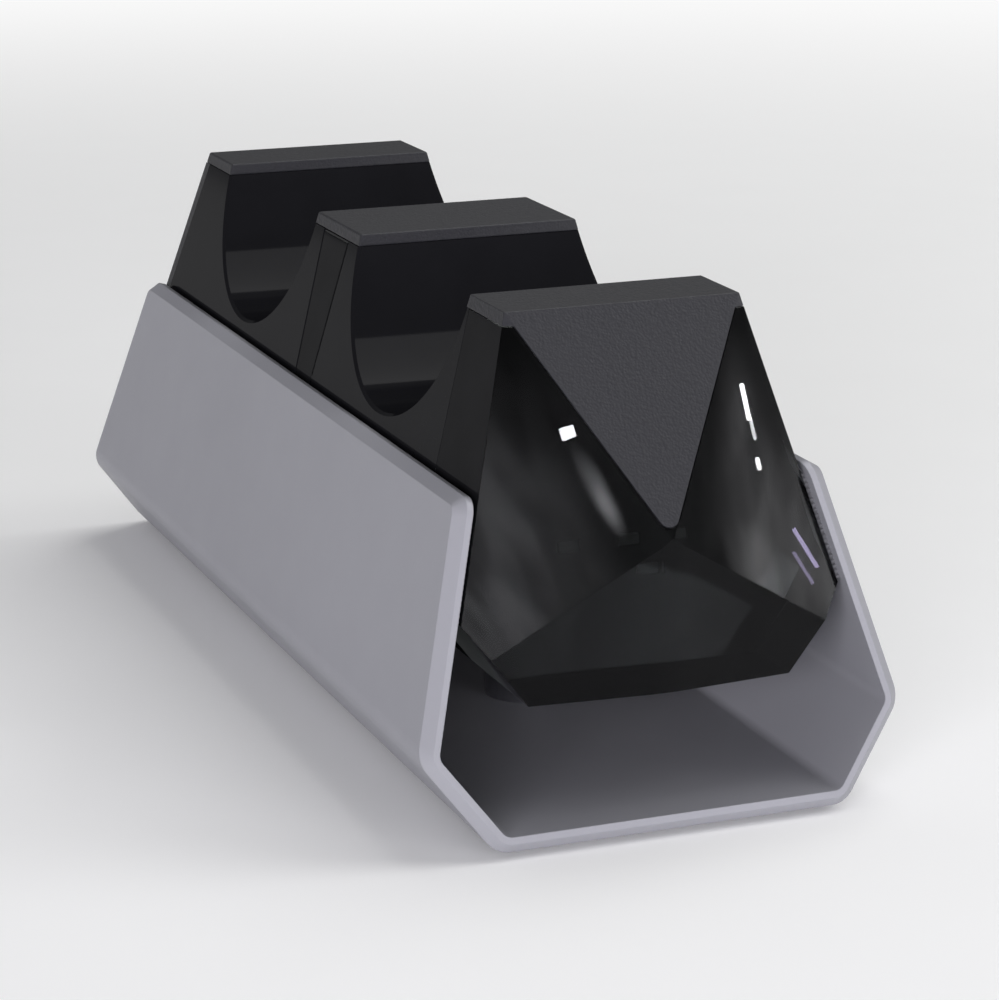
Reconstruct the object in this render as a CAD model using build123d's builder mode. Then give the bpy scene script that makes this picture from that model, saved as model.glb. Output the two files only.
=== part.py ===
from build123d import *
import os
from math import cos, radians, sin, sqrt, tan

# Charging dock with two wells, in millimetres.
# X runs across the dock, Y from the front end to the rear end, Z up.
# The origin lies on the table under the middle of the dock.

# Cradle: one folded aluminium sheet, open at the top and at both ends
cradle_length = 176.0
floor_width = 49.5
fold_height = 11.1
rim_height = 43.3
sheet_thickness = 2.4
lower_fold_angle = 53.0
wall_lean = 15.0
end_cut_angle = 15.7
inner_bend_radius = 1.8
rim_corner_radius = 3.0
edge_bevel = 1.5

# Feet under the cradle
foot_height = 0.8
foot_diameter = 10.0
foot_spacing_x = 34.0
foot_spacing_y = 138.0

# Body: a hexagonal bar held between the cradle's leaning walls
pad_thickness = 0.85
pad_end_setback = 0.8
pad_drop = 1.2
pad_corner_radius = 3.0
under_gap = 15.8
shoulder_height = 27.2
body_height = 66.65
cap_thickness = 1.8
plate_thickness = 1.0
fit_gap = 0.1

# Cut front of the bar, every setback counted from the cradle's front edge
nose_setback = 2.4
nose_height = 22.1
chin_setback = 4.3
brow_setback = 20.0
shoulder_setback = 8.7
front_sweep_angle = 4.9
ridge_width = 3.0
plate_corner_radius = 1.5

# Rear end of the bar
rear_setback = 5.0
rear_panel_thickness = 2.0
rear_panel_bevel = 0.5

# Wells across the bar
well_radius = 22.8
well_spacing = 65.6
well_axis_rise = 1.7
well_edge_bevel = 0.4

# Clear blocks
front_block_wall = 1.1
block_back_lean = 5.2
middle_block_length = 11.4
middle_block_depth = 26.0
block_edge_bevel = 0.3

# Housing
wall = 2.2
boss_diameter = 10.0
boss_height = 8.5
boss_end_thickness = 1.5
rib_thickness = 2.4
seat_pad_margin = 2.0
seat_pad_drop = 1.2

# Base cover, clamped between the spacers and the bosses
cover_thickness = 2.2
cover_clearance = 0.15
cover_margin = 1.8
cover_width = 33.0

# Fastening of the body to the cradle
spacer_diameter = 12.0
screw_diameter = 4.0
screw_head_diameter = 7.6
screw_length = 25.0
screw_clearance = 0.25
countersink_angle = 90.0
insert_wall = 0.9
insert_length = 6.0
thread_gap = 0.05
socket_share = 0.55
cross_share = 0.6

# Charging contacts in each well
seat_length = 18.0
seat_width = 7.0
seat_rise = 2.6
seat_flange = 3.5
seat_flange_thickness = 1.5
seat_corner_radius = 2.0
seat_edge_bevel = 0.5
contact_board_thickness = 1.2
spring_width = 1.6
spring_thickness = 0.3
spring_span = 3.4
spring_top = 1.4
spring_rise = 1.0
spring_spacing = 3.6
spring_count = 4
spring_clearance = 0.1

# Charging board behind the inlet
board_length = 20.0
board_width = 30.0
board_thickness = 1.6
board_post_height = 3.0
board_post_diameter = 5.0
board_post_inset = 3.0
board_screw_diameter = 2.0
board_screw_head = 3.8
board_screw_head_height = 1.3
board_screw_length = 4.2
chip_width = 6.0
chip_height = 1.2
coil_width = 7.0
coil_height = 3.5
coil_corner_radius = 1.0
capacitor_diameter = 4.0
capacitor_height = 6.0
part_gap = 0.8

# Flat cable from the charging board to the contacts and the status lights
cable_width = 8.0
cable_thickness = 0.6
cable_bend_radius = 2.0
cable_lead = 4.0
cable_slope = 60.0
cable_socket_length = 4.0
cable_socket_height = 3.0
cable_clearance = 1.1

# Power inlet in the rear panel
inlet_width = 8.94
inlet_height = 3.2
inlet_wall = 0.3
inlet_depth = 7.3
inlet_back = 1.6
inlet_clearance = 0.1
tongue_width = 6.7
tongue_thickness = 0.7
tongue_length = 5.0
recess_width = 15.0
recess_height = 8.0
recess_corner_radius = 2.5
recess_depth = 0.4
recess_wall = 1.5

# Status lights behind the front block
light_window_width = 3.4
light_window_height = 1.8
light_spacing = 9.0
light_height = 33.0
light_board_width = 18.0
light_board_margin = 3.0
light_board_thickness = 1.0
light_window_gap = 0.2


# Heights and half widths that follow from the sizes above
table = 0.0
floor_bottom = table + foot_height
floor_top = floor_bottom + sheet_thickness
fold_z = floor_top + fold_height
rim_z = floor_top + rim_height
floor_half = floor_width / 2
fold_half = floor_half + fold_height / tan(radians(lower_fold_angle))
rim_half = fold_half - (rim_z - fold_z) * tan(radians(wall_lean))
front_y = -cradle_length / 2

body_bottom = floor_top + under_gap
shoulder_z = floor_top + shoulder_height
body_top = floor_top + body_height
cap_bottom = body_top - cap_thickness


def body_side(z):
    """Half width of the bar on its leaning sides, one pad inside the cradle's wall."""
    wall_half = fold_half - (z - fold_z) * tan(radians(wall_lean))
    return wall_half - pad_thickness / cos(radians(wall_lean))


shoulder_half = body_side(shoulder_z)
top_half = body_side(body_top)
bottom_half = shoulder_half - (shoulder_z - body_bottom) / tan(radians(lower_fold_angle))

well_axis_z = body_top + well_axis_rise
well_centres = [-well_spacing / 2, well_spacing / 2]
well_bottom = well_axis_z - well_radius

# Corners of the cut front, for the half at positive X
brow = Vector(top_half, front_y + brow_setback, body_top)
nose = Vector(0, front_y + nose_setback, body_bottom + nose_height)
chin = Vector(0, front_y + chin_setback, body_bottom)
shoulder = Vector(shoulder_half, front_y + shoulder_setback, shoulder_z)
sweep = tan(radians(front_sweep_angle))
jaw = Vector(bottom_half, chin.Y + sweep * bottom_half, body_bottom)


def plane_through(a, b, c):
    """Plane through three points, with its normal pointing away from the bar, to the front."""
    normal = (b - a).cross(c - a)
    if normal.Y > 0:
        normal = normal * -1
    return Plane(origin=a, x_dir=b - a, z_dir=normal)


def mirrored(point):
    """The same point on the other side of the dock."""
    return Vector(-point.X, point.Y, point.Z)


brow_middle = Vector(0, brow.Y, brow.Z)
plate_slope = (nose - brow_middle).length
plate_plane = Plane(
    origin=brow_middle,
    x_dir=(1, 0, 0),
    z_dir=(0, nose.Z - brow.Z, brow.Y - nose.Y),
)
ridge_depth = sweep * ridge_width / 2
ridge_plane = plane_through(
    nose + Vector(0, ridge_depth, 0),
    chin + Vector(0, ridge_depth, 0),
    chin + Vector(1, ridge_depth, 0),
)
front_planes = [
    plate_plane,
    plane_through(nose, brow, shoulder),
    plane_through(nose, mirrored(brow), mirrored(shoulder)),
    plane_through(nose, chin, jaw),
    plane_through(nose, chin, mirrored(jaw)),
    ridge_plane,
]

# Rear end of the bar, cut parallel to the cradle's own end
rear_plane = Plane(
    origin=(0, -front_y - rear_setback, body_bottom),
    x_dir=(1, 0, 0),
    z_dir=(0, cos(radians(end_cut_angle)), sin(radians(end_cut_angle))),
)
panel_inner_plane = rear_plane.offset(-rear_panel_thickness)

# Back face of the front block, leaning back towards its top, with a thin wall left before the well
well_half_opening = sqrt(well_radius**2 - (well_axis_z - cap_bottom) ** 2)
block_back_plane = Plane(
    origin=(0, well_centres[0] - well_half_opening - front_block_wall, cap_bottom),
    x_dir=(1, 0, 0),
    z_dir=(0, cos(radians(block_back_lean)), -sin(radians(block_back_lean))),
)
cap_plane = Plane.XY.offset(cap_bottom)


def hexagon(inset=0):
    """Section of the bar, on a plane where Y is up."""
    with BuildSketch() as section:
        with BuildLine():
            Polyline(
                (-bottom_half, body_bottom),
                (bottom_half, body_bottom),
                (shoulder_half, shoulder_z),
                (top_half, body_top),
                (-top_half, body_top),
                (-shoulder_half, shoulder_z),
                close=True,
            )
        make_face()
        if inset:
            offset(amount=-inset, kind=Kind.INTERSECTION)
    return section.sketch


def plate_outline(grow=0):
    """Triangle of the slanting plate, with its lower corner rounded."""
    with BuildSketch() as outline:
        with BuildLine():
            Polyline((-top_half, 0), (top_half, 0), (0, -plate_slope), close=True)
        make_face()
        fillet(outline.vertices().sort_by(Axis.Y)[0], radius=plate_corner_radius)
        if grow:
            offset(amount=grow, kind=Kind.INTERSECTION)
    return outline.sketch


def countersunk_screw(diameter, head_diameter, length):
    """Screw that points up from its flat head at Z = 0, with a hexagon socket."""
    head_depth = (head_diameter - diameter) / 2 / tan(radians(countersink_angle / 2))
    with BuildPart() as screw:
        with BuildSketch(Plane.XZ):
            with BuildLine():
                Polyline(
                    (0, 0),
                    (head_diameter / 2, 0),
                    (diameter / 2, head_depth),
                    (diameter / 2, length),
                    (0, length),
                    close=True,
                )
            make_face()
        revolve(axis=Axis.Z)
        with BuildSketch():
            RegularPolygon(radius=diameter * socket_share / 2, side_count=6, major_radius=False)
        extrude(amount=head_depth, mode=Mode.SUBTRACT)
    return screw.part


def pan_screw(diameter, head_diameter, head_height, length):
    """Screw that points up, with its head's seat at Z = 0 and a cross slot in its head."""
    with BuildPart() as screw:
        Cylinder(diameter / 2, length, align=(Align.CENTER, Align.CENTER, Align.MIN))
        Cylinder(head_diameter / 2, head_height, align=(Align.CENTER, Align.CENTER, Align.MAX))
        for turn in (0, 90):
            with Locations((0, 0, -head_height)):
                Box(
                    head_diameter * cross_share,
                    head_height * cross_share,
                    head_height,
                    rotation=(0, 0, turn),
                    mode=Mode.SUBTRACT,
                )
    return screw.part


# Bar: the outer form that the blocks, the housing, the caps and the rear panel share
with BuildPart() as bar:
    with BuildSketch(Plane.XZ):
        add(hexagon())
    extrude(amount=cradle_length / 2, both=True)
    for front_plane in front_planes:
        split(bisect_by=front_plane, keep=Keep.BOTTOM)
    split(bisect_by=rear_plane, keep=Keep.BOTTOM)

# Wells: the two round troughs across the bar
with BuildPart() as wells:
    with BuildSketch(Plane.YZ):
        with Locations(*[(y, well_axis_z) for y in well_centres]):
            Circle(well_radius)
    extrude(amount=fold_half, both=True)

# Cradle
screw_hole = screw_diameter + 2 * screw_clearance
screw_places = [(0, y) for y in well_centres]
with BuildPart() as cradle:
    with BuildSketch(Plane.XZ):
        with BuildLine():
            inner_line = FilletPolyline(
                (rim_half, rim_z),
                (fold_half, fold_z),
                (floor_half, floor_top),
                (-floor_half, floor_top),
                (-fold_half, fold_z),
                (-rim_half, rim_z),
                radius=inner_bend_radius,
            )
            offset(inner_line, amount=sheet_thickness, side=Side.LEFT)
        make_face()
    extrude(amount=cradle_length, both=True)
    for end in (-1, 1):
        end_plane = Plane(
            origin=(0, end * cradle_length / 2, floor_top),
            x_dir=(1, 0, 0),
            z_dir=(0, end * cos(radians(end_cut_angle)), sin(radians(end_cut_angle))),
        )
        split(bisect_by=end_plane, keep=Keep.BOTTOM)
    # Round the four corners where the rims meet the end cuts
    rim_corners = [
        e
        for e in cradle.edges().filter_by(Axis.Y, reverse=True)
        if e.center().Z > rim_z - sheet_thickness and e.length < 2 * sheet_thickness
    ]
    fillet(rim_corners, radius=rim_corner_radius)
    # Bevel the whole outer border of the sheet
    lengthwise = cradle.edges().filter_by(Axis.Y)
    outer_border = []
    for edge in cradle.edges():
        middle = edge.center(CenterOf.GEOMETRY)
        on_outside = inner_line.distance_to(Vertex(middle.X, middle.Z, 0)) > sheet_thickness - fit_gap
        along_fold = edge in lengthwise and middle.Z < rim_z
        if on_outside and not along_fold:
            outer_border.append(edge)
    chamfer(outer_border, length=edge_bevel)
    # Countersunk holes for the screws that hold the body
    with Locations(Plane.XY.offset(floor_bottom).rotated((180, 0, 0))):
        with Locations(*screw_places):
            CounterSinkHole(screw_hole / 2, screw_head_diameter / 2, sheet_thickness, countersink_angle)
cradle.part.label = "cradle"

# Feet
with BuildPart() as feet:
    with BuildSketch(Plane.XY.offset(table)):
        with GridLocations(foot_spacing_x, foot_spacing_y, 2, 2):
            Circle(foot_diameter / 2)
    extrude(amount=foot_height)
feet.part.label = "feet"

# Front cap: the layer on top of the front block, folded down into the slanting plate
with BuildPart() as front_cap:
    add(bar.part)
    split(bisect_by=cap_plane, keep=Keep.TOP)
    add(wells.part, mode=Mode.SUBTRACT)
    split(bisect_by=Plane.XZ.offset(-well_centres[0]), keep=Keep.TOP)
    with BuildSketch(plate_plane):
        add(plate_outline())
    extrude(amount=-plate_thickness)
front_cap.part.label = "front_cap"

# Middle cap, on the ridge between the wells
with BuildPart() as middle_cap:
    add(bar.part)
    split(bisect_by=cap_plane, keep=Keep.TOP)
    add(wells.part, mode=Mode.SUBTRACT)
    split(bisect_by=Plane.XZ.offset(-well_centres[0]), keep=Keep.BOTTOM)
    split(bisect_by=Plane.XZ.offset(-well_centres[1]), keep=Keep.TOP)
middle_cap.part.label = "middle_cap"

# Rear cap
with BuildPart() as rear_cap:
    add(bar.part)
    split(bisect_by=cap_plane, keep=Keep.TOP)
    add(wells.part, mode=Mode.SUBTRACT)
    split(bisect_by=Plane.XZ.offset(-well_centres[1]), keep=Keep.BOTTOM)
rear_cap.part.label = "rear_cap"

# Front block: clear, cut to facets, with a recess that takes the plate
with BuildPart() as front_block:
    add(bar.part)
    split(bisect_by=block_back_plane, keep=Keep.BOTTOM)
    split(bisect_by=cap_plane.offset(-fit_gap), keep=Keep.BOTTOM)
    with BuildSketch(plate_plane):
        add(plate_outline(fit_gap))
    extrude(amount=-plate_thickness - fit_gap, mode=Mode.SUBTRACT)
front_block.part.label = "front_block"


def middle_wedge(grow):
    """Wedge of the middle block, wider at its top, and grown on its two ends and its bottom."""
    with BuildPart() as wedge:
        add(bar.part)
        for end in (-1, 1):
            wedge_plane = Plane(
                origin=(0, end * (middle_block_length / 2 + grow), cap_bottom),
                x_dir=(1, 0, 0),
                z_dir=(0, end * cos(radians(block_back_lean)), -sin(radians(block_back_lean))),
            )
            split(bisect_by=wedge_plane, keep=Keep.BOTTOM)
        split(bisect_by=Plane.XY.offset(cap_bottom - middle_block_depth - grow), keep=Keep.TOP)
    return wedge.part


# Middle block: clear, between the two wells
with BuildPart() as middle_block:
    add(middle_wedge(0))
    split(bisect_by=cap_plane.offset(-fit_gap), keep=Keep.BOTTOM)
    chamfer(middle_block.edges(), length=block_edge_bevel)
middle_block.part.label = "middle_block"

# Hollow of the housing, which leaves a wall round the wells and the middle block
cover_top = body_bottom + cover_thickness
with BuildPart() as hollow:
    with BuildSketch(Plane.XZ):
        add(hexagon(wall))
    extrude(amount=cradle_length, both=True)
    split(bisect_by=block_back_plane.offset(fit_gap + wall), keep=Keep.TOP)
    split(bisect_by=cap_plane.offset(-wall), keep=Keep.BOTTOM)
    with BuildSketch(Plane.YZ):
        with Locations(*[(y, well_axis_z) for y in well_centres]):
            Circle(well_radius + wall)
    extrude(amount=fold_half, both=True, mode=Mode.SUBTRACT)
    add(middle_wedge(fit_gap + wall), mode=Mode.SUBTRACT)

# Status light windows in the housing's front wall
housing_front_plane = block_back_plane.offset(fit_gap)


def housing_front_y(z):
    """Place of the housing's front face at a height."""
    rise = z - housing_front_plane.origin.Z
    return housing_front_plane.origin.Y + rise * tan(radians(block_back_lean))


light_plane = Plane(
    origin=(0, housing_front_y(light_height), light_height),
    x_dir=(1, 0, 0),
    z_dir=block_back_plane.z_dir * -1,
)
seat_top = well_bottom + seat_rise
seat_pad_z = well_bottom - wall - seat_pad_drop
seat_outer_length = seat_length + 2 * seat_flange
seat_outer_width = seat_width + 2 * seat_flange
insert_diameter = screw_diameter + 2 * (thread_gap + insert_wall)
floor_inside = body_bottom + wall
board_z = floor_inside + board_post_height
inlet_z = board_z + board_thickness + inlet_height / 2
recess_top_z = inlet_z + recess_height / 2
recess_top_y = rear_plane.origin.Y - (recess_top_z - body_bottom) * tan(radians(end_cut_angle))
inlet_y = recess_top_y - recess_depth
board_end = inlet_y - recess_wall - fit_gap
board_middle = board_end - board_length / 2
board_front = board_end - board_length
board_posts = [
    (end * (board_width / 2 - board_post_inset), board_middle + end * (board_length / 2 - board_post_inset))
    for end in (-1, 1)
]

cover_front = housing_front_y(body_bottom) + wall + cover_margin
cover_rear = board_front - cover_margin
cover_middle = (cover_front + cover_rear) / 2

# Housing: the black moulding with the two wells
with BuildPart() as housing:
    add(bar.part)
    split(bisect_by=housing_front_plane, keep=Keep.TOP)
    split(bisect_by=panel_inner_plane, keep=Keep.BOTTOM)
    split(bisect_by=cap_plane, keep=Keep.BOTTOM)
    add(hollow.part, mode=Mode.SUBTRACT)
    add(middle_wedge(fit_gap), mode=Mode.SUBTRACT)
    # Opening for the base cover
    with BuildSketch(Plane.XY.offset(body_bottom)):
        with Locations((0, cover_middle)):
            Rectangle(cover_width, cover_rear - cover_front)
    extrude(amount=max(cover_thickness, wall), mode=Mode.SUBTRACT)
    # Cross ribs that carry the screw bosses
    for y in well_centres:
        with BuildSketch(Plane.XZ.offset(-y)):
            add(hexagon(wall / 2))
            with Locations((0, cover_top + boss_height / 2)):
                Rectangle(2 * shoulder_half, boss_height, mode=Mode.INTERSECT)
        extrude(amount=rib_thickness / 2, both=True)
    with BuildSketch(Plane.XY.offset(cover_top)):
        with Locations(*screw_places):
            Circle(boss_diameter / 2)
    extrude(amount=boss_height)
    # Pads that the contact seats clamp against, under the wells
    with BuildSketch(Plane.XY.offset(seat_pad_z)):
        with Locations(*screw_places):
            Rectangle(seat_outer_length + seat_pad_margin, seat_outer_width + seat_pad_margin)
    extrude(amount=seat_top - seat_pad_z)
    add(wells.part, mode=Mode.SUBTRACT)
    # Holes for the contact seats
    with BuildSketch(Plane.XY.offset(seat_pad_z)):
        with Locations(*screw_places):
            RectangleRounded(
                seat_length + 2 * fit_gap,
                seat_width + 2 * fit_gap,
                seat_corner_radius + fit_gap,
            )
    extrude(amount=seat_top - seat_pad_z, mode=Mode.SUBTRACT)
    # Holes for the threaded inserts
    with Locations(Plane.XY.offset(cover_top).rotated((180, 0, 0))):
        with Locations(*screw_places):
            Hole(insert_diameter / 2, depth=boss_height - boss_end_thickness)
    # Windows for the status lights
    with BuildSketch(light_plane):
        with GridLocations(light_spacing, 1, 2, 1):
            Rectangle(light_window_width, light_window_height)
    extrude(amount=-wall - fit_gap, mode=Mode.SUBTRACT)
    # Bevelled rims of the wells
    well_faces = housing.faces().filter_by(
        lambda f: f.geom_type == GeomType.CYLINDER and abs(f.radius - well_radius) < fit_gap
    )
    chamfer(well_faces.edges().filter_by(GeomType.ELLIPSE), length=well_edge_bevel)
    # Posts for the charging board
    with BuildSketch(Plane.XY.offset(floor_inside)):
        with Locations(*board_posts):
            Circle(board_post_diameter / 2)
            Circle(board_screw_diameter / 2 + thread_gap, mode=Mode.SUBTRACT)
    extrude(amount=board_post_height)
housing.part.label = "housing"

# Rear panel: closes the housing, with a recess round the power inlet
inlet_plane = Plane.XZ.offset(-inlet_y)
with BuildPart() as rear_panel:
    add(bar.part)
    split(bisect_by=panel_inner_plane, keep=Keep.TOP)
    split(bisect_by=cap_plane, keep=Keep.BOTTOM)
    chamfer(rear_panel.faces().sort_by(Axis.Y)[-1].edges(), length=rear_panel_bevel)
    with BuildSketch(inlet_plane.offset(recess_wall)):
        with Locations((0, inlet_z)):
            RectangleRounded(
                recess_width + 2 * recess_wall,
                recess_height + 2 * recess_wall,
                recess_corner_radius + recess_wall,
            )
    extrude(amount=-cradle_length)
    split(bisect_by=rear_plane, keep=Keep.BOTTOM)
    with BuildSketch(inlet_plane):
        with Locations((0, inlet_z)):
            RectangleRounded(recess_width, recess_height, recess_corner_radius)
    extrude(amount=-cradle_length, mode=Mode.SUBTRACT)
    with BuildSketch(inlet_plane):
        with Locations((0, inlet_z)):
            SlotOverall(inlet_width + 2 * inlet_clearance, inlet_height + 2 * inlet_clearance)
    extrude(amount=recess_wall, mode=Mode.SUBTRACT)
rear_panel.part.label = "rear_panel"

# Power inlet: metal shell
with BuildPart() as inlet_shell:
    with BuildSketch(inlet_plane):
        with Locations((0, inlet_z)):
            SlotOverall(inlet_width, inlet_height)
            SlotOverall(inlet_width - 2 * inlet_wall, inlet_height - 2 * inlet_wall, mode=Mode.SUBTRACT)
    extrude(amount=inlet_depth)
inlet_shell.part.label = "inlet_shell"

# Power inlet: insulator with its tongue
inlet_back_plane = inlet_plane.offset(inlet_depth)
with BuildPart() as inlet_tongue:
    with BuildSketch(inlet_back_plane):
        with Locations((0, inlet_z)):
            SlotOverall(inlet_width - 2 * inlet_wall, inlet_height - 2 * inlet_wall)
    extrude(amount=-inlet_back)
    with BuildSketch(inlet_back_plane):
        with Locations((0, inlet_z)):
            Rectangle(tongue_width, tongue_thickness)
    extrude(amount=-inlet_back - tongue_length)
inlet_tongue.part.label = "inlet_tongue"

# Charging board on its posts
board_top = board_z + board_thickness
with BuildPart() as charge_board:
    with BuildSketch(Plane.XY.offset(board_z)):
        with Locations((0, board_middle)):
            Rectangle(board_width, board_length)
        with Locations(*board_posts):
            Circle(board_screw_diameter / 2 + thread_gap, mode=Mode.SUBTRACT)
    extrude(amount=board_thickness)
charge_board.part.label = "charge_board"

# Screws of the charging board
with BuildPart() as board_screws:
    with Locations(*[Location((x, y, board_top), (180, 0, 0)) for x, y in board_posts]):
        add(pan_screw(board_screw_diameter, board_screw_head, board_screw_head_height, board_screw_length))
board_screws.part.label = "board_screws"

# Soldered on the charging board: the cable's socket, a coil, a chip and two capacitors
socket_half = cable_width / 2 + cable_thickness
with BuildPart() as board_components:
    with BuildSketch(Plane.XY.offset(board_top)):
        with Locations((0, board_front + cable_socket_length / 2)):
            Rectangle(2 * socket_half, cable_socket_length)
    extrude(amount=cable_socket_height)
    with BuildSketch(Plane.XY.offset(board_top)):
        with Locations((-socket_half - part_gap - coil_width / 2, board_middle)):
            RectangleRounded(coil_width, coil_width, coil_corner_radius)
    extrude(amount=coil_height)
    with BuildSketch(Plane.XY.offset(board_top)):
        with Locations((socket_half + part_gap + chip_width / 2, board_middle)):
            Rectangle(chip_width, chip_width)
    extrude(amount=chip_height)
    with BuildSketch(Plane.XY.offset(board_top)):
        with Locations((0, board_posts[0][1])):
            with GridLocations(2 * socket_half + 2 * part_gap + capacitor_diameter, 1, 2, 1):
                Circle(capacitor_diameter / 2)
    extrude(amount=capacitor_height)
board_components.part.label = "board_components"

# Base cover, flush with the housing's underside
with BuildPart() as base_cover:
    with BuildSketch(Plane.XY.offset(body_bottom)):
        with Locations((0, cover_middle)):
            Rectangle(
                cover_width - 2 * cover_clearance,
                cover_rear - cover_front - 2 * cover_clearance,
            )
        with Locations(*screw_places):
            Circle(screw_hole / 2, mode=Mode.SUBTRACT)
    extrude(amount=cover_thickness)
base_cover.part.label = "base_cover"

# Spacers that hold the body above the cradle's floor
with BuildPart() as spacers:
    with BuildSketch(Plane.XY.offset(floor_top)):
        with Locations(*screw_places):
            Circle(spacer_diameter / 2)
            Circle(screw_hole / 2, mode=Mode.SUBTRACT)
    extrude(amount=under_gap)
spacers.part.label = "spacers"

# Threaded inserts in the bosses
with BuildPart() as threaded_inserts:
    with BuildSketch(Plane.XY.offset(cover_top)):
        with Locations(*screw_places):
            Circle(insert_diameter / 2)
            Circle(screw_diameter / 2 + thread_gap, mode=Mode.SUBTRACT)
    extrude(amount=insert_length)
threaded_inserts.part.label = "threaded_inserts"

# Screws from under the cradle through the spacers into the inserts
with BuildPart() as mounting_screws:
    with Locations(*[(x, y, floor_bottom) for x, y in screw_places]):
        add(countersunk_screw(screw_diameter, screw_head_diameter, screw_length))
mounting_screws.part.label = "mounting_screws"

# Side pads between the body and the cradle's walls
pad_top = rim_z - pad_drop
pad_lean = Vector(cos(radians(wall_lean)), sin(radians(wall_lean))) * pad_thickness
pad_foot = Vector(shoulder_half, shoulder_z)
pad_head = Vector(body_side(pad_top), pad_top)
pad_front_plane = Plane(
    origin=(0, shoulder.Y + pad_end_setback, shoulder_z),
    x_dir=(1, 0, 0),
    z_dir=(0, -cos(radians(end_cut_angle)), sin(radians(end_cut_angle))),
)
with BuildPart() as side_pad_right:
    with BuildSketch(Plane.XZ):
        with BuildLine():
            Polyline(pad_foot, pad_foot + pad_lean, pad_head + pad_lean, pad_head, close=True)
        make_face()
    extrude(amount=cradle_length, both=True)
    split(bisect_by=pad_front_plane, keep=Keep.BOTTOM)
    split(bisect_by=rear_plane.offset(-pad_end_setback), keep=Keep.BOTTOM)
    short_edges = side_pad_right.edges().filter_by(lambda e: e.length < 2 * pad_thickness)
    top_corners = [e for e in short_edges if e.center().Z > (shoulder_z + pad_top) / 2]
    fillet(top_corners, radius=pad_corner_radius)
side_pad_right.part.label = "side_pad_right"

with BuildPart() as side_pad_left:
    mirror(side_pad_right.part, about=Plane.YZ)
side_pad_left.part.label = "side_pad_left"

# Contacts: under each well a seat comes up through the housing, clamped with its board
seat_flange_z = seat_pad_z - seat_flange_thickness
contact_board_z = seat_flange_z - contact_board_thickness
slot_bottom = cap_bottom - middle_block_depth - fit_gap - wall
cable_top = slot_bottom - cable_clearance


def contact_seat(y):
    """Block that carries the springs, with its flange under the housing's pad."""
    with BuildPart() as seat:
        with BuildSketch(Plane.XY.offset(seat_flange_z)):
            Rectangle(seat_outer_length, seat_outer_width)
        extrude(amount=seat_flange_thickness)
        with BuildSketch(Plane.XY.offset(seat_pad_z)):
            RectangleRounded(seat_length, seat_width, seat_corner_radius)
        extrude(amount=seat_top - seat_pad_z)
        chamfer(seat.faces().sort_by(Axis.Z)[-1].edges(), length=seat_edge_bevel)
        with BuildSketch(Plane.XY.offset(seat_flange_z)):
            with GridLocations(spring_spacing, 1, spring_count, 1):
                Rectangle(spring_width + 2 * spring_clearance, spring_span + 2 * spring_clearance)
        extrude(amount=seat_top, mode=Mode.SUBTRACT)
    return seat.part.moved(Location((0, y, 0)))


def contact_board(y):
    """Board under the seat, with the socket that the flat cable meets."""
    with BuildPart() as board:
        with BuildSketch(Plane.XY.offset(contact_board_z)):
            Rectangle(seat_outer_length, seat_outer_width)
        extrude(amount=contact_board_thickness)
        with BuildSketch(Plane.XY.offset(contact_board_z)):
            Rectangle(2 * socket_half, cable_socket_length)
        extrude(amount=cable_top - contact_board_z)
    return board.part.moved(Location((0, y, 0)))


def contact_springs(y):
    """Row of bent strips that stand on the board and reach out of the seat."""
    half = (spring_span - spring_thickness) / 2
    shoulder_level = seat_top - spring_rise
    top_level = seat_top + spring_rise - spring_thickness / 2
    with BuildPart() as springs:
        with BuildSketch(Plane.YZ):
            with BuildLine():
                strip = Polyline(
                    (-half, seat_flange_z + spring_thickness / 2),
                    (-half, shoulder_level),
                    (-spring_top / 2, top_level),
                    (spring_top / 2, top_level),
                    (half, shoulder_level),
                    (half, seat_pad_z),
                )
                offset(strip, amount=spring_thickness / 2, kind=Kind.INTERSECTION)
            make_face()
        extrude(amount=spring_width / 2, both=True)
    with BuildPart() as row:
        with GridLocations(spring_spacing, 1, spring_count, 1):
            add(springs.part)
    return row.part.moved(Location((0, y, 0)))


with BuildPart() as front_contact_seat:
    add(contact_seat(well_centres[0]))
front_contact_seat.part.label = "front_contact_seat"

with BuildPart() as rear_contact_seat:
    add(contact_seat(well_centres[1]))
rear_contact_seat.part.label = "rear_contact_seat"

with BuildPart() as front_contact_board:
    add(contact_board(well_centres[0]))
front_contact_board.part.label = "front_contact_board"

with BuildPart() as rear_contact_board:
    add(contact_board(well_centres[1]))
rear_contact_board.part.label = "rear_contact_board"

with BuildPart() as front_contact_springs:
    add(contact_springs(well_centres[0]))
front_contact_springs.part.label = "front_contact_springs"

with BuildPart() as rear_contact_springs:
    add(contact_springs(well_centres[1]))
rear_contact_springs.part.label = "rear_contact_springs"

# Status lights: a board behind the housing's front wall, and the lights in its windows
light_board_plane = light_plane.offset(-wall)
light_back_plane = light_board_plane.offset(-light_board_thickness)
light_socket_rise = cable_top - cable_thickness / 2 - light_height
with BuildPart() as light_board:
    with BuildSketch(light_board_plane):
        with Locations((0, light_socket_rise / 2)):
            Rectangle(light_board_width, light_socket_rise + 2 * light_board_margin)
    extrude(amount=-light_board_thickness)
    with BuildSketch(light_back_plane):
        with Locations((0, light_socket_rise)):
            Rectangle(2 * socket_half, cable_socket_height)
    extrude(amount=-cable_socket_length)
light_board.part.label = "light_board"

with BuildPart() as status_lights:
    with BuildSketch(light_board_plane):
        with GridLocations(light_spacing, 1, 2, 1):
            Rectangle(light_window_width - 2 * light_window_gap, light_window_height - 2 * light_window_gap)
    extrude(amount=wall)
status_lights.part.label = "status_lights"

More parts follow.
